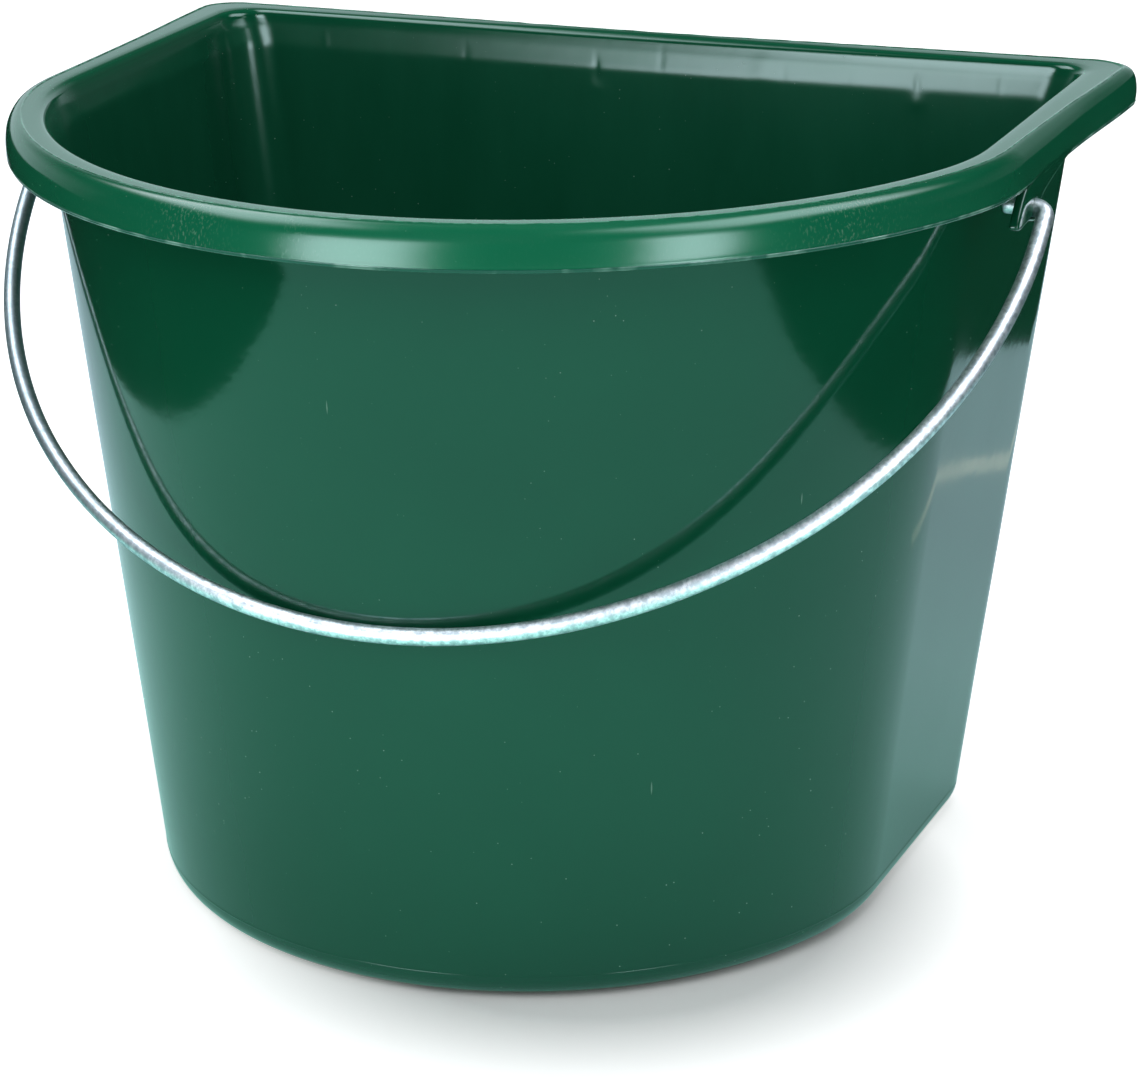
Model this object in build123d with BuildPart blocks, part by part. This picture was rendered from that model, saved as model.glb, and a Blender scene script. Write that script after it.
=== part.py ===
"""Flat-backed feed bucket: one moulded plastic tub with a rolled rim, and a wire bail that pivots on it.

Millimetres, +Z up. The flat back faces +Y and the round front faces -Y. The origin is on the floor,
under the middle of the rim.
"""
import os
from math import acos, cos, degrees, radians, sin, sqrt, tan

from build123d import *

os.makedirs("parts", exist_ok=True)

# Tub
height = 285.0
wall = 2.5
floor_thickness = 3.0
base_round = 9.0
toe_in = 1.0  # each side leans in by this many degrees on its way to the front

# Outlines of the tub's outside, as (half width, back, front, back corner radius, shoulder radius)
base_outline = (140.0, 123.5, -117.0, 25.0, 105.0)
mouth_outline = (175.5, 139.5, -136.0, 17.0, 95.0)
shoulder_y = -5.0  # where the straight sides give way to the front arc

# Rolled rim
rim_outline = (190.0, 151.5, -151.5, 9.5, 110.0)
skirt_height = 14.5
skirt_wall = 3.0
rim_round = 7.0
skirt_bottom = height - skirt_height

# Recess under the floor, which leaves a foot ring to stand on
foot_width = 20.0
recess_depth = 1.2

# Bail
wire_radius = 3.0
pivot_y = 22.0
pivot_z = 262.0
leg_x = 191.8
bend_radius = 4.4
leg_length = 12.0
shoulder_arc = 178.0
crown_arc = 198.0
pin_tip_x = 176.5
tip_chamfer = 0.6
rest_angle = 39.15  # below the horizontal, leaning on the front wall

# Ears that carry the bail, one under each side of the rim
ear_thickness = 3.4
ear_outer_x = leg_x - bend_radius
ear_top = height - skirt_wall / 2
eye_radius = wire_radius + 0.08
eye_boss_radius = 5.7
ear_front_y = 11.5
ear_tip = (2.0, 257.8)
ear_knee = (31.0, 263.0)
ear_back_y = 57.0
ear_tip_round = 2.4


def tub_outline(z, inset=0.0):
    """The tub's outline at height z, moved inwards by inset."""
    share = z / height
    half_width, back, front, corner, shoulder = (
        low + (high - low) * share for low, high in zip(base_outline, mouth_outline)
    )
    return half_width - inset, back - inset, front + inset, corner - inset, shoulder - inset


def draw_outline(half_width, back, front, corner, shoulder):
    """A D: straight back and sides, one arc round the front, and rounded corners."""
    meet_x = half_width - (back - shoulder_y) * tan(radians(toe_in))
    with BuildLine() as edge:
        Polyline((meet_x, shoulder_y), (half_width, back), (-half_width, back), (-meet_x, shoulder_y))
        ThreePointArc((-meet_x, shoulder_y), (0, front), (meet_x, shoulder_y))
    outline = make_face(edge.edges())
    outline = fillet(outline.vertices().group_by(Axis.Y)[0], shoulder)
    fillet(outline.vertices().group_by(Axis.Y)[-1], corner)


# The outside of the tub
with BuildPart() as tub:
    with BuildSketch(Plane.XY):
        draw_outline(*tub_outline(0))
    with BuildSketch(Plane.XY.offset(height)):
        draw_outline(*tub_outline(height))
    loft()
    fillet(tub.faces().sort_by(Axis.Z)[0].edges(), base_round)

# The feed space inside it, cut a little past the mouth
cavity_top = height + 1.0
with BuildPart() as cavity:
    with BuildSketch(Plane.XY.offset(floor_thickness)):
        draw_outline(*tub_outline(floor_thickness, wall))
    with BuildSketch(Plane.XY.offset(cavity_top)):
        draw_outline(*tub_outline(cavity_top, wall))
    loft()
    fillet(cavity.faces().sort_by(Axis.Z)[0].edges(), base_round - wall)

# The channel under the rim, between the tub and the turned-down skirt
half_width, back, front, corner, shoulder = rim_outline
channel_outline = (
    half_width - skirt_wall,
    back - skirt_wall,
    front + skirt_wall,
    corner - skirt_wall,
    shoulder - skirt_wall,
)
with BuildPart() as channel:
    with BuildSketch(Plane.XY.offset(skirt_bottom)):
        draw_outline(*channel_outline)
    extrude(amount=skirt_height - skirt_wall)
    add(tub.part, mode=Mode.SUBTRACT)
    fillet(channel.faces().sort_by(Axis.Z)[-1].edges(), rim_round - skirt_wall)

with BuildPart() as bucket_body:
    with BuildSketch(Plane.XY.offset(skirt_bottom)):
        draw_outline(*rim_outline)
    extrude(amount=skirt_height)
    add(channel.part, mode=Mode.SUBTRACT)
    add(tub.part)
    add(cavity.part, mode=Mode.SUBTRACT)
    fillet(bucket_body.faces().sort_by(Axis.Z)[-1].edges(), rim_round)

    # Recess under the floor
    with BuildSketch(Plane.XY):
        draw_outline(*tub_outline(0, foot_width))
    extrude(amount=recess_depth, mode=Mode.SUBTRACT)

    # Ears: a fin with a round eye for the bail, on both sides
    for side in (1, -1):
        ear_plane = Plane.YZ.offset(side * (ear_outer_x - ear_thickness / 2))
        with BuildSketch(ear_plane):
            with BuildLine():
                Polyline(
                    (ear_front_y, ear_top),
                    (ear_front_y, skirt_bottom),
                    ear_tip,
                    ear_knee,
                    (ear_back_y, skirt_bottom),
                    (ear_back_y, ear_top),
                    close=True,
                )
            fin = make_face()
            fillet(fin.vertices().sort_by(Axis.X)[0], ear_tip_round)
            with Locations((pivot_y, pivot_z)):
                Circle(eye_boss_radius)
        extrude(amount=ear_thickness / 2, both=True)
        with BuildSketch(ear_plane):
            with Locations((pivot_y, pivot_z)):
                Circle(eye_radius)
        extrude(amount=ear_thickness, both=True, mode=Mode.SUBTRACT)

bucket_body.part.label = "bucket_body"
export_step(bucket_body.part, "parts/bucket_body.step")

# The bail is bent in one plane, which holds the pivot axis and hangs down over the front
lean = radians(rest_angle)
bail_plane = Plane(origin=(0, pivot_y, pivot_z), x_dir=(1, 0, 0), z_dir=(0, sin(lean), -cos(lean)))
arc_gap = crown_arc - shoulder_arc
shoulder_centre_x = leg_x - shoulder_arc
crown_centre = leg_length - sqrt(arc_gap**2 - shoulder_centre_x**2)
shoulder_turn = degrees(acos(shoulder_centre_x / arc_gap))

with BuildPart() as bail_handle:
    with BuildLine(bail_plane) as bail_path:
        Line((pin_tip_x, 0), (leg_x - bend_radius, 0))
        CenterArc((leg_x - bend_radius, bend_radius), bend_radius, -90, 90)
        Line((leg_x, bend_radius), (leg_x, leg_length))
        CenterArc((shoulder_centre_x, leg_length), shoulder_arc, 0, shoulder_turn)
        mirror(about=Plane.YZ)
        CenterArc((0, crown_centre), crown_arc, shoulder_turn, 180 - 2 * shoulder_turn)
    with BuildSketch(Plane(origin=(pin_tip_x, pivot_y, pivot_z), z_dir=(1, 0, 0))):
        Circle(wire_radius)
    sweep(path=bail_path.wires()[0])
    chamfer(bail_handle.faces().filter_by(Axis.X).edges(), tip_chamfer)

bail_handle.part.label = "bail_handle"
export_step(bail_handle.part, "parts/bail_handle.step")
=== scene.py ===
"""Looks of the flat-backed feed bucket: a glossy green moulded tub and a zinc-coated wire bail.

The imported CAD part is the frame. Lengths are in millimetres until a mesh is made, and +Z is up.
"""

from math import acos, atan2, cos, pi, radians, sin, sqrt, tan

import bmesh
import bpy
import numpy as np
from mathutils import Matrix, Vector, noise


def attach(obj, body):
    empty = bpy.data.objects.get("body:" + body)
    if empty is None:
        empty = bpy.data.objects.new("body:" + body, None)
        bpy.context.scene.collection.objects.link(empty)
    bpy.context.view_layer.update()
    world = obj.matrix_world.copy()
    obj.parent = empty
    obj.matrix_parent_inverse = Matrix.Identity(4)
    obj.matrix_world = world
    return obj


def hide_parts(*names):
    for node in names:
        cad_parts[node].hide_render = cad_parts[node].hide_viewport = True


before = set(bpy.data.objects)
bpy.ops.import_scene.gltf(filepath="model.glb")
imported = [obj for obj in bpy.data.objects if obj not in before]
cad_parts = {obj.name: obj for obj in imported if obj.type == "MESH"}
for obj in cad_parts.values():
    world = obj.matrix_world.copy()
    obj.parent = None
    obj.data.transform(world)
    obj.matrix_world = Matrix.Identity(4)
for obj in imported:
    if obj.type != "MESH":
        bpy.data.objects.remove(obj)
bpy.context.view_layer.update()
MM = 0.001

# ------------------------------------------------------------------ sizes, the same as the CAD part's
HEIGHT = 285.0
WALL = 2.5
FLOOR = 3.0
BASE_ROUND = 9.0
TOE_IN = radians(1.0)
SHOULDER_Y = -5.0
BASE_OUTLINE = (140.0, 123.5, -117.0, 25.0, 105.0)
MOUTH_OUTLINE = (175.5, 139.5, -136.0, 17.0, 95.0)
RIM_OUTLINE = (190.0, 151.5, -151.5, 9.5, 110.0)
SKIRT_BOTTOM = 270.5
SKIRT_WALL = 3.0
FOOT_WIDTH = 20.0
RECESS = 1.2

WIRE_RADIUS = 3.0
PIVOT_Y = 22.0
PIVOT_Z = 262.0
LEG_X = 191.8
BEND_RADIUS = 4.4
LEG_LENGTH = 12.0
SHOULDER_ARC = 178.0
CROWN_ARC = 198.0
PIN_TIP_X = 176.5
REST_ANGLE = radians(39.15)
EAR_OUTER_X = LEG_X - BEND_RADIUS
EAR_THICKNESS = 3.4


# ------------------------------------------------------------------ outlines
BACK_STEPS = 146
CORNER_STEPS = 9
SIDE_STEPS = 24
SHOULDER_STEPS = 30
FRONT_STEPS = 56


def half_outline(half_width, back, front, corner, shoulder):
    """The right half of the D, from the middle of the back round to the middle of the front."""
    start = np.array([half_width, back])
    along = np.array([-sin(TOE_IN), -cos(TOE_IN)])
    inward = np.array([-cos(TOE_IN), sin(TOE_IN)])
    meet_x = half_width - (back - SHOULDER_Y) * tan(TOE_IN)
    drop = SHOULDER_Y - front
    radius = (meet_x**2 + drop**2) / (2 * drop)
    middle = np.array([0.0, front + radius])

    # where the shoulder's arc leaves the side, and where it meets the front's arc
    offset = start + inward * shoulder - middle
    lead = offset @ along
    side_end = -lead + sqrt(max(lead**2 - offset @ offset + (radius - shoulder) ** 2, 0.0))
    shoulder_centre = start + along * side_end + inward * shoulder
    front_angle = atan2(shoulder_centre[1] - middle[1], shoulder_centre[0] - middle[0])

    inner = start + inward * corner
    side_start = (back - corner - inner[1]) / along[1]
    corner_centre = inner + along * side_start

    points = [(x, back) for x in np.linspace(0, corner_centre[0], BACK_STEPS, endpoint=False)]
    for a in np.linspace(pi / 2, -TOE_IN, CORNER_STEPS, endpoint=False):
        points.append(tuple(corner_centre + corner * np.array([cos(a), sin(a)])))
    for d in np.linspace(side_start, side_end, SIDE_STEPS, endpoint=False):
        points.append(tuple(start + along * d))
    for a in np.linspace(-TOE_IN, front_angle, SHOULDER_STEPS, endpoint=False):
        points.append(tuple(shoulder_centre + shoulder * np.array([cos(a), sin(a)])))
    for a in np.linspace(front_angle, -pi / 2, FRONT_STEPS):
        points.append(tuple(middle + radius * np.array([cos(a), sin(a)])))
    return np.array(points)


def outline(sizes, inset=0.0):
    """The whole D, anticlockwise from the middle of the back when seen from below, moved in by inset."""
    half_width, back, front, corner, shoulder = sizes
    half = half_outline(half_width - inset, back - inset, front + inset, corner - inset, shoulder - inset)
    other = half[1:-1][::-1] * np.array([-1.0, 1.0])
    return np.vstack([half, other])


def tub_sizes(z):
    share = z / HEIGHT
    return tuple(low + (high - low) * share for low, high in zip(BASE_OUTLINE, MOUTH_OUTLINE))


def at_height(points, z):
    return np.column_stack([points, np.full(len(points), z)])


def outward(points):
    """Unit normals of a closed outline, pointing out of it."""
    step = np.roll(points, -1, axis=0) - np.roll(points, 1, axis=0)
    normal = np.column_stack([-step[:, 1], step[:, 0]])
    return normal / np.linalg.norm(normal, axis=1)[:, None]


def bezier(p0, p1, p2, p3, count):
    """Points on a cubic, without its first one."""
    t = np.linspace(0, 1, count + 1)[1:, None]
    p0, p1, p2, p3 = (np.array(p, float) for p in (p0, p1, p2, p3))
    return (1 - t) ** 3 * p0 + 3 * (1 - t) ** 2 * t * p1 + 3 * (1 - t) * t**2 * p2 + t**3 * p3


def field(points, scale, seed):
    """Smooth noise from about -1 to 1 at each point. scale is the size of its waves, in millimetres."""
    shift = Vector((seed * 17.3, seed * 5.1, seed * 9.7))
    return np.array([noise.noise(Vector(p) / scale + shift) for p in points])


# ------------------------------------------------------------------ the moulded tub, as rings of points
rim_line = outline(RIM_OUTLINE)
# the rim's back corners reach a little further out
corner_reach = np.clip((rim_line[:, 1] - 75.0) / 60.0, 0, 1)
rim_line[:, 0] *= 1 + 0.0075 * corner_reach * corner_reach * (3 - 2 * corner_reach)
rim_normal = outward(rim_line)
if (rim_normal * rim_line).sum() < 0:
    rim_normal = -rim_normal
across = rim_normal[:, 0] ** 2
facing_back = rim_normal[:, 1] > 0
# inset of the parting line at the sides, the back and the front
CREST_SIDE, CREST_BACK, CREST_FRONT = 5.6, 7.3, 7.1
crest = CREST_SIDE * across + np.where(facing_back, CREST_BACK, CREST_FRONT) * (1 - across)

# Each ring is the whole outline at one height, and its kind says which stretch of the section it is on.
# They go from the middle of the underside, up the outside, over the rim and down the inside.
rings = []
kinds = []


def add_ring(points, kind):
    rings.append(points)
    kinds.append(kind)


def tub_ring(z, inset, kind):
    add_ring(at_height(outline(tub_sizes(z), inset), z), kind)


def rim_ring(inset, z, kind, inner=None):
    """A ring of the rim. inset, one number or one per point, runs from the rim's lower edge towards inner."""
    target = outline(tub_sizes(z), WALL) if inner is None else inner
    reach = target - rim_line
    width = np.linalg.norm(reach, axis=1)
    share = (np.zeros(len(rim_line)) + inset) / width
    add_ring(np.column_stack([rim_line + reach * share[:, None], np.zeros(len(rim_line)) + z]), kind)


# underside: recess, foot ring and rounded base
foot = outline(tub_sizes(0), FOOT_WIDTH)
centre = foot.mean(axis=0)
for share in (0.03, 0.25, 0.5, 0.75, 0.93):
    add_ring(at_height(centre + (foot - centre) * share, RECESS), "under")
recess_edge = ((0.4, RECESS), (0.1, 1.05), (-0.1, 0.2), (-0.4, 0.03), (-0.8, 0.0))
for offset, z in recess_edge:
    tub_ring(z, FOOT_WIDTH + offset, "under")
for inset in (14.0, 9.6):
    tub_ring(0.0, inset, "under")
for step in range(0, 11):
    turn = radians(9 * step)
    z = BASE_ROUND * (1 - cos(turn))
    add_ring(at_height(outline(tub_sizes(z), BASE_ROUND * (1 - sin(turn))), z), "base")
# a fine raised line where the mould's base insert met its sides
for z, proud in ((9.35, 0.0), (9.55, 0.05), (9.68, 0.11), (9.8, 0.04), (10.0, 0.0)):
    tub_ring(z, -proud, "base")

# outer wall, then the channel under the rim
for z in np.linspace(11.0, 266.0, 58):
    tub_ring(z, 0.0, "wall")
for z in (270.0, 274.0, 278.0, 280.6):
    tub_ring(z, 0.0, "channel")
tub_outside = outline(tub_sizes(281.6), 0.0)
channel_roof = ((12.6, 281.7), (10.5, 282.0), (7.5, 282.0), (5.6, 281.6), (4.2, 280.6), (3.3, 279.0))
for inset, z in (*channel_roof, (SKIRT_WALL, 276.5)):
    rim_ring(inset, z, "channel", tub_outside)
lip_inside = ((SKIRT_WALL, 1.5), (2.9, 0.6), (2.6, 0.2), (2.1, 0.0), (1.2, 0.0), (0.7, 0.1))
lip_outside = ((0.42, 0.35), (0.36, 0.8), (0.36, 1.12))
for inset, rise in (*lip_inside, *lip_outside):
    rim_ring(inset, SKIRT_BOTTOM + rise, "lip", tub_outside)

# outside of the rim: flash line, band, roll, parting line
for inset, rise in ((0.10, 1.24), (0.0, 1.34), (0.10, 1.44)):
    rim_ring(inset, SKIRT_BOTTOM + rise, "flash", tub_outside)
# the band bulges at the sides and leans back at the front: (inset at the side, inset at the front, rise)
for at_side, at_front, rise in (
    (0.15, 0.12, 1.56),
    (0.0, 0.06, 2.2),
    (-0.18, 0.18, 3.3),
    (-0.30, 0.36, 4.7),
    (-0.32, 0.61, 6.1),
    (-0.22, 0.91, 7.5),
):
    rim_ring(at_side * across + at_front * (1 - across), SKIRT_BOTTOM + rise, "band", tub_outside)
# the roll, as a share of the way in to the parting line
side_roll = bezier((-0.01, 279.2), (0.06, 282.0), (0.42, HEIGHT - 0.1), (0.95, HEIGHT), 14)
front_roll = bezier((0.17, 279.2), (0.31, 282.0), (0.60, HEIGHT - 0.1), (0.95, HEIGHT), 14)
for (at_side, z), (at_front, front_z) in zip(side_roll, front_roll):
    height_here = z * across + front_z * (1 - across)
    rim_ring(crest * (at_side * across + at_front * (1 - across)), height_here, "band", tub_outside)
for offset, rise in ((-0.16, 0.02), (0.0, 0.17), (0.16, 0.02)):
    rim_ring(crest + offset, HEIGHT + rise, "parting", tub_outside)

# inner roll and inner wall
width = np.linalg.norm(outline(tub_sizes(HEIGHT), WALL) - rim_line, axis=1)
flat = width - crest - 4.9
for share in (0.12, 0.4, 0.7, 1.0):
    rim_ring(crest + flat * share, HEIGHT - 0.25 * share**2, "roll")
for offset, z in bezier((4.9, 284.75), (3.1, 284.5), (2.3, 283.2), (1.95, 281.6), 8):
    rim_ring(width - offset, z, "roll")
flare = ((1.55, 279.6), (1.15, 277.6), (0.78, 275.6), (0.5, 274.2), (0.3, 273.2), (0.14, 272.2))
for offset, z in (*flare, (0.04, 271.2)):
    inner = outline(tub_sizes(z), WALL)
    reach = np.linalg.norm(inner - rim_line, axis=1)
    rim_ring(reach - offset, z, "flare")
for z in np.arange(270.2, 240.0, -1.0):
    tub_ring(z, WALL, "inside")
for z in np.arange(240.0, 12.0, -6.5):
    tub_ring(z, WALL, "inside")
inner_round = BASE_ROUND - WALL
for step in range(0, 8):
    turn = radians(90 - 90 * step / 7)
    z = FLOOR + inner_round * (1 - cos(turn))
    tub_ring(z, WALL + inner_round * (1 - sin(turn)), "inside")
floor_edge = outline(tub_sizes(FLOOR), WALL + inner_round)
for share in (0.93, 0.75, 0.5, 0.25, 0.03):
    add_ring(at_height(centre + (floor_edge - centre) * share, FLOOR), "inside")

count = len(rim_line)
shell = np.array(rings)
kinds = np.array(kinds)
base_normals = np.column_stack([rim_normal, np.zeros(count)])

# slow waves in the moulded walls, a fraction of a millimetre, that bend the reflections
for index, kind in enumerate(kinds):
    ring = shell[index]
    z = ring[0, 2]
    if kind in ("wall", "inside", "flare") and z > 14.0:
        fade = min(1.0, (z - 14.0) / 40.0) * min(1.0, (284.0 - z) / 20.0)
        bow = 0.20 * field(ring, 85.0, 1) + 0.05 * field(ring, 30.0, 2)
        shell[index] = ring + base_normals * (bow * fade)[:, None]
    if kind == "flash":
        ragged = 0.10 + 0.16 * field(ring, 2.6, 3) + 0.10 * field(ring, 9.0, 4)
        shell[index] = ring + base_normals * np.clip(ragged, -0.05, 0.35)[:, None]
    if kind == "parting" and z > HEIGHT + 0.1:
        shell[index][:, 2] += np.clip(0.04 + 0.14 * field(ring, 6.0, 5), -0.1, 0.2)

# sink marks on the inside of the back wall: (x, z, half width, half height, push into the bucket), and how
# much of that push is used
SINK_SHARE = 0.35
SINKS = (
    (-18.2, 270.5, 0.9, 4.0, -0.55), (-18.2, 263.5, 3.2, 3.0, 0.55),
    (110.3, 273.5, 0.9, 4.0, -0.60), (110.3, 266.8, 3.4, 3.2, 0.65),
    (-73.0, 270.0, 1.0, 5.0, -0.25), (8.2, 276.0, 1.0, 4.0, -0.2), (49.3, 276.0, 4.0, 5.0, 0.25),
    (57.7, 272.0, 0.8, 4.5, -0.25), (83.4, 271.0, 0.8, 5.0, -0.3), (142.3, 275.0, 0.8, 5.0, -0.3),
    (-133.8, 274.0, 1.0, 3.0, 0.3), (-160.8, 275.0, 1.0, 4.0, 0.3),
)
for index, kind in enumerate(kinds):
    if kind in ("inside", "flare") and shell[index][0, 2] > 235.0:
        ring = shell[index]
        on_back = ring[:, 1] > 125.0
        for x, z, half_x, half_z, push in SINKS:
            gap = ((ring[:, 0] - x) / half_x) ** 2 + ((ring[:, 2] - z) / half_z) ** 2
            ring[:, 1] -= SINK_SHARE * push * np.exp(-gap) * on_back


# ------------------------------------------------------------------ meshes
def new_mesh(name, points, faces, smooth=True):
    mesh = bpy.data.meshes.new(name)
    mesh.from_pydata([tuple(p) for p in points], [], faces)
    mesh.update()
    piece = bpy.data.objects.new(name, mesh)
    bpy.context.scene.collection.objects.link(piece)
    mesh.polygons.foreach_set("use_smooth", [smooth] * len(mesh.polygons))
    return piece


def set_attribute(piece, name, values):
    attribute = piece.data.attributes.new(name, "FLOAT", "POINT")
    attribute.data.foreach_set("value", np.asarray(values, np.float32))


def grid_faces(rows, columns):
    """Quads between rings of points, each ring closed."""
    faces = []
    for row in range(rows - 1):
        below = row * columns
        above = below + columns
        for column in range(columns):
            after = (column + 1) % columns
            faces.append((below + column, above + column, above + after, below + after))
    return faces


points = shell.reshape(-1, 3)
faces = grid_faces(len(shell), count)
bottom = len(points)
top = bottom + 1
points = np.vstack([points, [centre[0], centre[1], RECESS], [centre[0], centre[1], FLOOR]])
last = (len(shell) - 1) * count
for column in range(count):
    after = (column + 1) % count
    faces.append((bottom, column, after))
    faces.append((top, last + after, last + column))
bucket = new_mesh("bucket_shell", points * MM, faces)

ring_kind = np.repeat(kinds, count)
flash = np.isin(ring_kind, ["flash"]) * 1.0 + np.isin(ring_kind, ["lip"]) * 0.4
parting = np.isin(ring_kind, ["parting"]) * 1.0
raised = np.clip((points[:-2, 2] - HEIGHT - 0.25) / 0.5, 0, 1)
set_attribute(bucket, "flash", np.append(np.maximum(flash, raised), [0, 0]))
set_attribute(bucket, "parting", np.append(parting, [0, 0]))
# painted light: the rim's band, roll and parting line get a rim weight that colours them lighter, most where
# they face the front, standing in for light from above and the front; the same weight also makes them rougher
band = np.isin(ring_kind, ["band", "parting", "roll"]) * 1.0
painted_light_toward_front = np.clip(rim_normal @ np.array([0.34, -0.94]), 0, 1) ** 3
painted_rim_light = np.tile(0.34 + 0.66 * painted_light_toward_front, len(shell))
set_attribute(bucket, "rim", np.append(band * painted_rim_light, [0, 0]))
# rubbed places along the front of the rim: (x, half width, strength)
x, y = points[:-2, 0], points[:-2, 1]
rubs = np.full(len(x), 0.06)
for middle, half_width, strength in ((-47, 11, 1.0), (152, 9, 0.8), (-6, 5, 0.5)):
    rubs += strength * np.exp(-(((x - middle) / half_width) ** 2))
set_attribute(bucket, "rubs", np.append(band * rubs * (y < 0), [0, 0]))
inside = np.isin(ring_kind, ["inside", "flare"]) * 1.0
set_attribute(bucket, "inside", np.append(inside, [1, 0]))

bm = bmesh.new()
bm.from_mesh(bucket.data)
bmesh.ops.recalc_face_normals(bm, faces=bm.faces)
if bm.calc_volume(signed=True) < 0:
    bmesh.ops.reverse_faces(bm, faces=bm.faces)
bm.to_mesh(bucket.data)
bm.free()

# ears: flat plates with a round eye, their upper part a thin patch on the skirt
EAR_EDGE = (
    (64.0, 271.0), (57.0, 270.4), (41.0, 267.4), (30.5, 264.6), (27.0, 262.6), (26.6, 260.2), (24.5, 257.9),
    (21.5, 257.1), (18.6, 257.9), (14.0, 259.3), (9.0, 258.4), (4.9, 258.1), (1.6, 258.6), (0.9, 260.1),
    (4.3, 264.3), (9.6, 269.6), (12.0, 271.6), (24.0, 273.2), (40.0, 274.6), (58.0, 276.2), (68.0, 276.8),
    (71.0, 275.4), (70.0, 272.6),
)
EYE_RADIUS = WIRE_RADIUS + 0.08
EAR_BEVEL = 0.9
EAR_PROUD = 0.45  # how far the visible ear stands out past the CAD part's


def smooth_loop(corners, steps=5):
    """A closed uniform spline near the corners."""
    corners = np.array(corners)
    out = []
    for i in range(len(corners)):
        a, b, c, d = (corners[(i + k) % len(corners)] for k in range(-1, 3))
        for t in np.linspace(0, 1, steps, endpoint=False):
            before = (1 - t) ** 3 * a + (3 * t**3 - 6 * t**2 + 4) * b
            after = (-3 * t**3 + 3 * t**2 + 3 * t + 1) * c + t**3 * d
            out.append((before + after) / 6)
    return np.array(out)


def make_ear(side):
    curve = bpy.data.curves.new("ear_outline", "CURVE")
    curve.dimensions = "2D"
    curve.fill_mode = "BOTH"
    turns = np.linspace(0, 2 * pi, 49)[:-1]
    hole = [(PIVOT_Y + EYE_RADIUS * cos(a), PIVOT_Z + EYE_RADIUS * sin(a)) for a in turns]
    for loop in (smooth_loop(EAR_EDGE), np.array(hole)):
        spline = curve.splines.new("POLY")
        spline.points.add(len(loop) - 1)
        for point, (y, z) in zip(spline.points, loop):
            point.co = ((y - PIVOT_Y) * MM, (z - PIVOT_Z) * MM, 0.0, 1.0)
        spline.use_cyclic_u = True
    curve.extrude = (EAR_THICKNESS / 2 - EAR_BEVEL) * MM
    curve.bevel_depth = EAR_BEVEL * MM
    curve.bevel_resolution = 3
    curve.offset = -EAR_BEVEL * MM
    name = "bucket_ear_right" if side > 0 else "bucket_ear_left"
    flat = bpy.data.objects.new("ear_curve", curve)
    bpy.context.scene.collection.objects.link(flat)
    mesh = bpy.data.meshes.new_from_object(flat.evaluated_get(bpy.context.evaluated_depsgraph_get()))
    bpy.data.objects.remove(flat)
    # local (x, y, z) stands for (y, z, x); the plate follows the rim's side, which leans in by the toe-in
    place = Matrix(((0, 0, 1, 0), (1, 0, 0, 0), (0, 1, 0, 0), (0, 0, 0, 1)))
    centre_x = side * (EAR_OUTER_X + EAR_PROUD - EAR_THICKNESS / 2)
    lean = Matrix.Rotation(-side * TOE_IN, 4, "Z")
    mesh.transform(Matrix.Translation(Vector((centre_x, PIVOT_Y, PIVOT_Z)) * MM) @ lean @ place)
    mesh.name = name
    ear = bpy.data.objects.new(name, mesh)
    bpy.context.scene.collection.objects.link(ear)
    bm = bmesh.new()
    bm.from_mesh(mesh)
    bmesh.ops.remove_doubles(bm, verts=bm.verts, dist=1e-6)
    bmesh.ops.recalc_face_normals(bm, faces=bm.faces)
    bm.to_mesh(mesh)
    bm.free()
    mesh.set_sharp_from_angle(angle=radians(35))
    return ear


ears = [make_ear(1), make_ear(-1)]

# ------------------------------------------------------------------ the bail, a round wire along its bends
arc_gap = CROWN_ARC - SHOULDER_ARC
shoulder_centre_x = LEG_X - SHOULDER_ARC
crown_centre = LEG_LENGTH - sqrt(arc_gap**2 - shoulder_centre_x**2)
shoulder_turn = acos(shoulder_centre_x / arc_gap)


def arc(cx, cy, radius, start, end, steps):
    return [(cx + radius * cos(a), cy + radius * sin(a)) for a in np.linspace(start, end, steps)]


half_wire = [(x, 0.0) for x in np.linspace(PIN_TIP_X, LEG_X - BEND_RADIUS, 12)]
half_wire += arc(LEG_X - BEND_RADIUS, BEND_RADIUS, BEND_RADIUS, -pi / 2, 0, 14)[1:]
half_wire += [(LEG_X, v) for v in np.linspace(BEND_RADIUS, LEG_LENGTH, 5)][1:]
half_wire += arc(shoulder_centre_x, LEG_LENGTH, SHOULDER_ARC, 0, shoulder_turn, 44)[1:]
half_wire += arc(0, crown_centre, CROWN_ARC, shoulder_turn, pi / 2, 40)[1:]
wire_line = np.array(half_wire + [(-u, v) for u, v in half_wire[:-1][::-1]])
plane_v = np.array([0.0, -cos(REST_ANGLE), -sin(REST_ANGLE)])
plane_n = np.array([0.0, sin(REST_ANGLE), -cos(REST_ANGLE)])
pivot = np.array([0.0, PIVOT_Y, PIVOT_Z])
wire_path = pivot + wire_line[:, :1] * np.array([1.0, 0.0, 0.0]) + wire_line[:, 1:] * plane_v

WIRE_SIDES = 28
wire_rings = []
tangents = np.gradient(wire_path, axis=0)
tangents /= np.linalg.norm(tangents, axis=1)[:, None]


def wire_ring(centre_point, tangent, radius):
    side = np.cross(plane_n, tangent)
    side /= np.linalg.norm(side)
    turns = np.linspace(0, 2 * pi, WIRE_SIDES, endpoint=False)
    return centre_point + radius * (np.cos(turns)[:, None] * side + np.sin(turns)[:, None] * plane_n)


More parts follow.
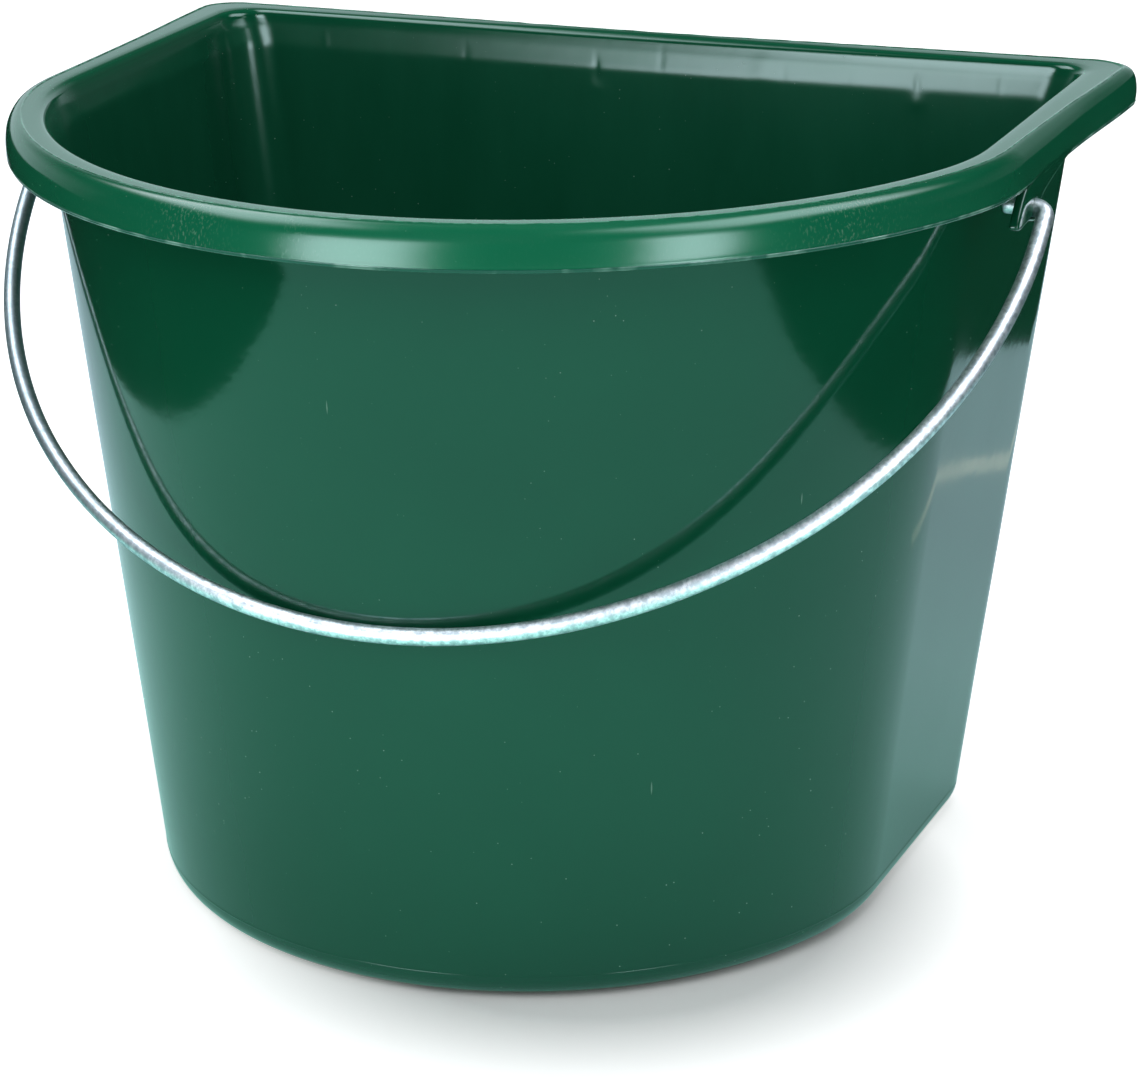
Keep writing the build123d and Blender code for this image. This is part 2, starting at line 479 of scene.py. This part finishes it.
# the cut ends are rounded: (radius, distance in from the end)
CUT_END = ((0.15, -0.10), (1.4, -0.06), (2.2, 0.0), (2.62, 0.12), (2.88, 0.42))
for radius, inward in CUT_END:
    wire_rings.append(wire_ring(wire_path[0] + tangents[0] * inward, tangents[0], radius))
for index in range(1, len(wire_path) - 1):
    wire_rings.append(wire_ring(wire_path[index], tangents[index], WIRE_RADIUS))
for radius, inward in reversed(CUT_END):
    wire_rings.append(wire_ring(wire_path[-1] - tangents[-1] * inward, tangents[-1], radius))
wire_rings = np.array(wire_rings)
wire_faces = grid_faces(len(wire_rings), WIRE_SIDES)
wire_faces.append(tuple(range(WIRE_SIDES)))
wire_faces.append(tuple((len(wire_rings) - 1) * WIRE_SIDES + k for k in reversed(range(WIRE_SIDES))))
bail = new_mesh("bail_wire", wire_rings.reshape(-1, 3) * MM, wire_faces)
along_wire = np.cumsum(np.append(0, np.linalg.norm(np.diff(wire_rings.mean(axis=1), axis=0), axis=1)))
set_attribute(bail, "along", np.repeat(along_wire, WIRE_SIDES) * MM)
bm = bmesh.new()
bm.from_mesh(bail.data)
bmesh.ops.recalc_face_normals(bm, faces=bm.faces)
bm.to_mesh(bail.data)
bm.free()


# ------------------------------------------------------------------ materials
class Nodes:
    """A short way to build one node material."""

    def __init__(self, name):
        self.material = bpy.data.materials.new(name)
        self.material.use_nodes = True
        self.tree = self.material.node_tree
        self.tree.nodes.clear()
        self.output = self.add("ShaderNodeOutputMaterial")
        self.shader = self.add("ShaderNodeBsdfPrincipled")
        self.join(self.shader.outputs[0], self.output.inputs[0])

    def add(self, kind, **settings):
        node = self.tree.nodes.new(kind)
        for key, value in settings.items():
            setattr(node, key, value)
        return node

    def join(self, source, target):
        self.tree.links.new(source, target)

    def coordinates(self, scale):
        source = self.add("ShaderNodeTexCoord")
        mapping = self.add("ShaderNodeMapping")
        mapping.inputs["Scale"].default_value = scale
        self.join(source.outputs["Object"], mapping.inputs["Vector"])
        return mapping.outputs["Vector"]

    def noise(self, scale, detail=2.0, stretch=(1, 1, 1), rough=0.5):
        node = self.add("ShaderNodeTexNoise")
        node.inputs["Scale"].default_value = scale
        node.inputs["Detail"].default_value = detail
        node.inputs["Roughness"].default_value = rough
        self.join(self.coordinates(stretch), node.inputs["Vector"])
        return node.outputs["Fac"]

    def ramp(self, value, low, high, to_low=0.0, to_high=1.0):
        node = self.add("ShaderNodeMapRange")
        node.clamp = True
        node.inputs["From Min"].default_value = low
        node.inputs["From Max"].default_value = high
        node.inputs["To Min"].default_value = to_low
        node.inputs["To Max"].default_value = to_high
        self.join(value, node.inputs["Value"])
        return node.outputs["Result"]

    def math(self, operation, first, second):
        node = self.add("ShaderNodeMath", operation=operation)
        for value, socket in ((first, node.inputs[0]), (second, node.inputs[1])):
            if isinstance(value, (int, float)):
                socket.default_value = value
            else:
                self.join(value, socket)
        return node.outputs[0]

    def mix(self, factor, first, second):
        node = self.add("ShaderNodeMix", data_type="RGBA")
        self.join(factor, node.inputs["Factor"])
        sockets = [s for s in node.inputs if s.type == "RGBA"]
        for value, socket in zip((first, second), sockets):
            if isinstance(value, tuple):
                socket.default_value = (*value, 1.0)
            else:
                self.join(value, socket)
        return [s for s in node.outputs if s.type == "RGBA"][0]

    def attribute(self, name):
        return self.add("ShaderNodeAttribute", attribute_name=name).outputs["Fac"]

    def specks(self, stretch, scale, radius, share):
        """Sparse small marks: one in a few cells of a Voronoi pattern holds a dot of that radius."""
        near = self.add("ShaderNodeTexVoronoi")
        near.inputs["Scale"].default_value = scale
        self.join(self.coordinates(stretch), near.inputs["Vector"])
        split = self.add("ShaderNodeSeparateColor")
        self.join(near.outputs["Color"], split.inputs[0])
        dot = self.ramp(near.outputs["Distance"], radius * 0.5, radius, 1.0, 0.0)
        chosen = self.ramp(split.outputs[0], 1 - share, 1 - share + 0.004)
        return self.math("MULTIPLY", dot, chosen)

    def bump(self, height, distance, strength=1.0, normal=None):
        node = self.add("ShaderNodeBump")
        node.inputs["Strength"].default_value = strength
        node.inputs["Distance"].default_value = distance
        self.join(height, node.inputs["Height"])
        if normal is not None:
            self.join(normal, node.inputs["Normal"])
        return node.outputs["Normal"]


def green_plastic():
    n = Nodes("green_plastic")
    rim = n.attribute("rim")
    cloud = n.noise(9.0, 3.0)
    colour = n.mix(n.ramp(cloud, 0.3, 0.7), (0.0014, 0.052, 0.0230), (0.0021, 0.062, 0.0280))
    # painted light: where the rim weight is high the plastic is coloured lighter
    colour = n.mix(rim, colour, (0.0048, 0.134, 0.0625))
    # the inside is coloured lighter in cloudy streaks: partly its own streaky tone, partly painted light
    # standing in for more light inside the tub
    inside_streaks_and_painted_light = n.ramp(n.noise(22.0, 5.0, (1, 1, 0.3), 0.6), 0.3, 0.72, 0.25, 0.85)
    colour = n.mix(n.math("MULTIPLY", n.attribute("inside"), inside_streaks_and_painted_light), colour, (0.0075, 0.090, 0.0460))
    torn = n.mix(n.ramp(n.noise(70.0, 3.0), 0.50, 0.64), (0.015, 0.11, 0.075), (0.24, 0.46, 0.38))
    colour = n.mix(n.attribute("flash"), colour, torn)
    parting = n.math("MULTIPLY", n.attribute("parting"), n.ramp(n.noise(240.0, 2.0), 0.42, 0.60, 0.0, 0.6))
    colour = n.mix(parting, colour, (0.12, 0.36, 0.26))
    # dust, fine scratches down the wall, and rubbed patches on the rim
    settled = n.ramp(n.noise(13.0), 0.44, 0.60, 0.10, 0.75)
    dust = n.math("MULTIPLY", n.specks((1, 1, 1), 480.0, 0.12, 0.09), settled)
    scratches = n.math("MULTIPLY", n.specks((1, 1, 0.075), 330.0, 0.10, 0.010), 0.35)
    grain = n.ramp(n.noise(1300.0, 4.0, (1, 1, 0.5)), 0.55, 0.72, 0.0, 0.26)
    rubbed = n.math("MULTIPLY", grain, n.attribute("rubs"))
    marks = n.math("MAXIMUM", n.math("MAXIMUM", dust, scratches), rubbed)
    colour = n.mix(marks, colour, (0.30, 0.48, 0.38))
    n.join(colour, n.shader.inputs["Base Color"])
    haze = n.ramp(n.noise(30.0, 4.0, (1, 1, 0.35)), 0.35, 0.75, 0.0, 0.035)
    rough = n.math("ADD", haze, n.math("MULTIPLY", marks, 0.3))
    rough = n.math("ADD", rough, n.math("MULTIPLY", rim, 0.13))
    rough = n.math("ADD", rough, n.math("MULTIPLY", n.attribute("inside"), 0.12))
    n.join(n.math("ADD", rough, 0.06), n.shader.inputs["Roughness"])
    n.shader.inputs["IOR"].default_value = 1.5
    n.shader.inputs["Specular Tint"].default_value = (0.76, 1.0, 0.97, 1.0)
    peel = n.bump(n.noise(150.0, 2.0), 0.00002, 1.0)
    drag = n.bump(n.noise(240.0, 2.0, (1, 1, 0.06)), 0.000003, 1.0, peel)
    n.join(n.bump(marks, 0.00005, 1.0, drag), n.shader.inputs["Normal"])
    return n.material


def galvanised_wire():
    n = Nodes("galvanised_wire")
    n.shader.inputs["Metallic"].default_value = 1.0
    mottle = n.noise(420.0, 4.0, (1, 1, 1), 0.62)
    drawn = n.noise(160.0, 3.0, (1, 1, 1), 0.55)
    colour = n.mix(n.ramp(mottle, 0.40, 0.60), (0.44, 0.54, 0.57), (0.82, 0.91, 0.93))
    colour = n.mix(n.ramp(drawn, 0.56, 0.72, 0.0, 0.55), colour, (0.44, 0.53, 0.55))
    # painted shade: the left leg is coloured darker, standing in for the darker surroundings it reflects
    colour = n.mix(n.ramp(n.attribute("along"), 0.37, 0.49, 0.0, 0.75), colour, (0.25, 0.34, 0.36))
    n.join(colour, n.shader.inputs["Base Color"])
    n.join(n.ramp(mottle, 0.3, 0.7, 0.50, 0.40), n.shader.inputs["Roughness"])
    n.shader.inputs["Specular Tint"].default_value = (0.30, 0.38, 0.42, 1.0)
    coarse = n.bump(n.noise(900.0, 3.0), 0.00003, 1.0)
    n.join(n.bump(n.noise(90.0, 2.0), 0.00004, 1.0, coarse), n.shader.inputs["Normal"])
    return n.material


def pale_floor():
    n = Nodes("pale_floor")
    n.join(n.mix(n.noise(3.0, 2.0), (0.86, 0.86, 0.87), (0.88, 0.88, 0.885)), n.shader.inputs["Base Color"])
    n.shader.inputs["Roughness"].default_value = 0.7
    n.shader.inputs["Specular IOR Level"].default_value = 0.15
    n.shader.inputs["Emission Color"].default_value = (1.0, 1.0, 1.0, 1.0)
    # painted shadow: the floor glows, faintly in a pool of shade in front of the bucket and brighter away
    # from it
    away = n.add("ShaderNodeVectorMath", operation="DISTANCE")
    n.join(n.coordinates((1, 1, 1)), away.inputs[0])
    away.inputs[1].default_value = (0.045, -0.03, 0.0)
    n.join(n.ramp(away.outputs["Value"], 0.086, 0.142, 0.06, 0.62), n.shader.inputs["Emission Strength"])
    n.material.cycles.emission_sampling = "NONE"
    return n.material


green = green_plastic()
zinc = galvanised_wire()
for piece in (bucket, *ears):
    piece.data.materials.append(green)
    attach(piece, "bucket")
bail.data.materials.append(zinc)
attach(bail, "bail")
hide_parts("bucket_body")
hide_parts("bail_handle")

# ------------------------------------------------------------------ floor, cards and lights
ONE_QUAD = [(0, 1, 2, 3)]
floor = new_mesh("floor", [(-6, -6, 0), (6, -6, 0), (6, 9, 0), (-6, 9, 0)], ONE_QUAD, smooth=False)
floor.data.materials.append(pale_floor())
# the floor goes on to the horizon, for the camera only, so that low views don't see its edge
far_corners = [(x, y, -0.001) for x, y in ((-60, -60), (60, -60), (60, 60), (-60, 60))]
far_floor = new_mesh("floor_far", far_corners, ONE_QUAD, smooth=False)
far_floor.data.materials.append(floor.data.materials[0])
far_floor.visible_glossy = False
far_floor.visible_diffuse = False
far_floor.visible_shadow = False


def soft_box(name, azimuth, elevation, distance, width, height, power, aim=(0.0, 0.0, 0.15)):
    """A rectangular light at that direction from the object. Azimuth 0 is in front and 90 is on the right."""
    a, e = radians(azimuth), radians(elevation)
    back = Vector((sin(a) * cos(e), -cos(a) * cos(e), sin(e)))
    light = bpy.data.lights.new(name, "AREA")
    light.shape = "RECTANGLE"
    light.size = width
    light.size_y = height
    light.energy = power
    lamp = bpy.data.objects.new(name, light)
    lamp.location = Vector(aim) + back * distance
    lamp.rotation_euler = back.to_track_quat("Z", "Y").to_euler()
    lamp.visible_glossy = False
    bpy.context.scene.collection.objects.link(lamp)
    return lamp


AZIMUTH = radians(23.67)  # of the camera, to the right of the front
COOL = (0.76, 0.965, 1.0)  # the backdrop's tint


def reflector(name, points, faces, material):
    """A flat card that only reflections see: a table top or a light's face. It casts no shadow."""
    card = new_mesh(name, points, faces, smooth=False)
    card.data.materials.append(material)
    material.cycles.emission_sampling = "NONE"
    card.visible_camera = False
    card.visible_diffuse = False
    card.visible_shadow = False
    card.visible_transmission = False
    return card


def level_with_table(name, u0, u1, v0, v1, z, near, far, glow):
    """A card on the table. u runs to the camera's right and v away from the camera.

    u0 and u1 are its left and right ends, each as a pair: at v0 and at v1.
    """
    corners = []
    for u, v in ((u0[0], v0), (u1[0], v0), (u1[1], v1), (u0[1], v1)):
        corners.append((u * cos(AZIMUTH) - v * sin(AZIMUTH), u * sin(AZIMUTH) + v * cos(AZIMUTH), z))
    n = Nodes(name)
    split = n.add("ShaderNodeSeparateXYZ")
    n.join(n.coordinates((1, 1, 1)), split.inputs[0])
    depth = n.ramp(split.outputs["Y"], -0.2, 0.35)
    tone = n.mix(depth, near, far)
    n.join(tone, n.shader.inputs["Base Color"])
    n.join(tone, n.shader.inputs["Emission Color"])
    n.join(n.ramp(depth, 0.0, 1.0, *glow), n.shader.inputs["Emission Strength"])
    n.shader.inputs["Roughness"].default_value = 1.0
    n.shader.inputs["Specular IOR Level"].default_value = 0.0
    return reflector(name, corners, ONE_QUAD, n.material)


FACE_STEPS = 17  # points along each side of a light's face


def light_face(name, centre, azimuth, elevation, width, height, strength, soften=0.3):
    """A bright soft-edged rectangle that faces the object from that azimuth and elevation."""
    a, e = radians(azimuth), radians(elevation)
    side = Vector((cos(a), sin(a), 0.0)) * width
    rise = Vector((-sin(a) * sin(e), cos(a) * sin(e), cos(e))) * height
    steps = np.linspace(-0.5, 0.5, FACE_STEPS)
    fall = np.clip((0.5 - np.abs(steps)) / soften, 0, 1)
    fall = fall * fall * (3 - 2 * fall)
    points = [tuple(Vector(centre) + side * x + rise * y) for y in steps for x in steps]
    starts = [row * FACE_STEPS + k for row in range(FACE_STEPS - 1) for k in range(FACE_STEPS - 1)]
    faces = [(a, a + 1, a + FACE_STEPS + 1, a + FACE_STEPS) for a in starts]
    n = Nodes(name)
    n.shader.inputs["Base Color"].default_value = (0.0, 0.0, 0.0, 1.0)
    n.shader.inputs["Roughness"].default_value = 1.0
    n.shader.inputs["Specular IOR Level"].default_value = 0.0
    n.shader.inputs["Emission Color"].default_value = (0.94, 0.92, 1.0, 1.0)
    n.join(n.math("MULTIPLY", n.attribute("glow"), strength), n.shader.inputs["Emission Strength"])
    card = reflector(name, points, faces, n.material)
    set_attribute(card, "glow", np.outer(fall, fall).ravel())
    return card


DARK = (0.010, 0.012, 0.012)
NEAR, FAR = (0.42, 0.90, 0.79), (0.60, 0.83, 0.92)
SEAM = (0.75, 0.87, 0.84)


def left_edge(v):
    """Where the pale table ends on the left, and the dark room begins."""
    return -0.583 + 0.15 * v


def right_edge(v):
    """Where it ends on the right."""
    return 0.497 - 0.035 * v


def dark_card(name, u0, u1, v0, v1, z):
    level_with_table(name, u0, u1, v0, v1, z, DARK, DARK, (0, 0))


# dark cards reach the horizon on both sides and in front, over a pale table with a bright seam in it
dark_card("card_left", (-12.0, -12.0), (left_edge(-4.0), left_edge(0.9)), -4.0, 0.9, 0.004)
dark_card("card_left_back", (-12.0, -12.0), (-0.448, -0.448), 0.9, 14.0, 0.004)
dark_card("card_right", (right_edge(-9.0), right_edge(14.0)), (14.0, 14.0), -9.0, 14.0, 0.005)
dark_card("card_front", (-12.0, -12.0), (12.0, 12.0), -9.0, -0.86, 0.006)
level_with_table("card_table", (-1.3, -1.3), (0.75, 0.75), -0.9, 4.0, 0.003, NEAR, FAR, (0.45, 0.05))
level_with_table("card_seam", (0.380, 0.380), (0.392, 0.392), 0.1, 4.0, 0.0045, NEAR, SEAM, (0.5, 0.5))
light_face("face_left", (-0.22, -0.878, 0.30), 0.0, 0.0, 0.57, 1.10, 11.0)
light_face("face_right", (0.70, -0.58, 0.30), 50.0, 0.0, 0.36, 1.10, 11.0)
light_face("face_top_left", (-0.62, -0.08, 1.15), -82.0, 55.0, 1.5, 0.7, 7.0)
light_face("face_top_right", (0.62, 0.0, 1.10), 85.0, 55.0, 1.3, 0.8, 7.0)

soft_box("box_front", 0.0, 45.0, 1.6, 0.9, 0.9, 7.0)
soft_box("box_top", 180.0, 78.0, 1.7, 1.2, 1.2, 14.0)

# ------------------------------------------------------------------ world
world = bpy.data.worlds.new("studio")
world.use_nodes = True
tree = world.node_tree
tree.nodes.clear()
surface = tree.nodes.new("ShaderNodeOutputWorld")
choose = tree.nodes.new("ShaderNodeMixShader")
path = tree.nodes.new("ShaderNodeLightPath")
ambient = tree.nodes.new("ShaderNodeBackground")
seen = tree.nodes.new("ShaderNodeBackground")
ambient.inputs["Color"].default_value = (0.97, 0.985, 1.0, 1.0)
ambient.inputs["Strength"].default_value = 0.45
direction = tree.nodes.new("ShaderNodeTexCoord")
split = tree.nodes.new("ShaderNodeSeparateXYZ")
tree.links.new(direction.outputs["Generated"], split.inputs[0])


def fade_along(axis, start, end, from_value, to_value):
    """A value that goes from one level to another with the direction's x, y or z."""
    fade = tree.nodes.new("ShaderNodeMapRange")
    fade.inputs["From Min"].default_value = start
    fade.inputs["From Max"].default_value = end
    fade.inputs["To Min"].default_value = from_value
    fade.inputs["To Max"].default_value = to_value
    tree.links.new(split.outputs[axis], fade.inputs["Value"])
    return fade.outputs["Result"]


def product(first, second):
    node = tree.nodes.new("ShaderNodeMath")
    node.operation = "MULTIPLY"
    tree.links.new(first, node.inputs[0])
    tree.links.new(second, node.inputs[1])
    return node.outputs[0]


# what reflections see: a bright backdrop low down behind the object, brighter on the left than on the
# right, and a dark room in front
backdrop = product(fade_along("Y", -0.15, 0.45, 0.03, 0.95), fade_along("Z", 0.24, 0.46, 1.0, 0.08))
seen.inputs["Color"].default_value = (*COOL, 1.0)
tree.links.new(product(backdrop, fade_along("X", 0.05, 0.40, 1.0, 0.15)), seen.inputs["Strength"])
tree.links.new(path.outputs["Is Glossy Ray"], choose.inputs[0])
tree.links.new(ambient.outputs[0], choose.inputs[1])
tree.links.new(seen.outputs[0], choose.inputs[2])
tree.links.new(choose.outputs[0], surface.inputs[0])
bpy.context.scene.world = world
bpy.context.scene.view_settings.view_transform = "Standard"

# ------------------------------------------------------------------ camera
# the photograph's view, with its picture taken as 1148 x 1080
CAMERA_DISTANCE = 1.3396
elevation = radians(19.64)
roll = radians(-1.34)
target = Vector((0.0, -2.19, 133.0)) * MM
back = Vector((sin(AZIMUTH) * cos(elevation), -cos(AZIMUTH) * cos(elevation), sin(elevation)))
right = Vector((cos(AZIMUTH), sin(AZIMUTH), 0.0))
up = back.cross(right)
right_rolled = cos(roll) * right + sin(roll) * up
up_rolled = -sin(roll) * right + cos(roll) * up
camera_data = bpy.data.cameras.new("camera")
camera_data.sensor_width = 36.0
camera_data.lens = 115.64
camera_data.shift_x = 0.0595
camera_data.shift_y = -0.0121
camera_data.clip_start = 0.05
camera = bpy.data.objects.new("camera", camera_data)
bpy.context.scene.collection.objects.link(camera)
turn = Matrix((right_rolled, up_rolled, back)).transposed().to_4x4()
camera.matrix_world = Matrix.Translation(target + back * CAMERA_DISTANCE) @ turn
bpy.context.scene.camera = camera
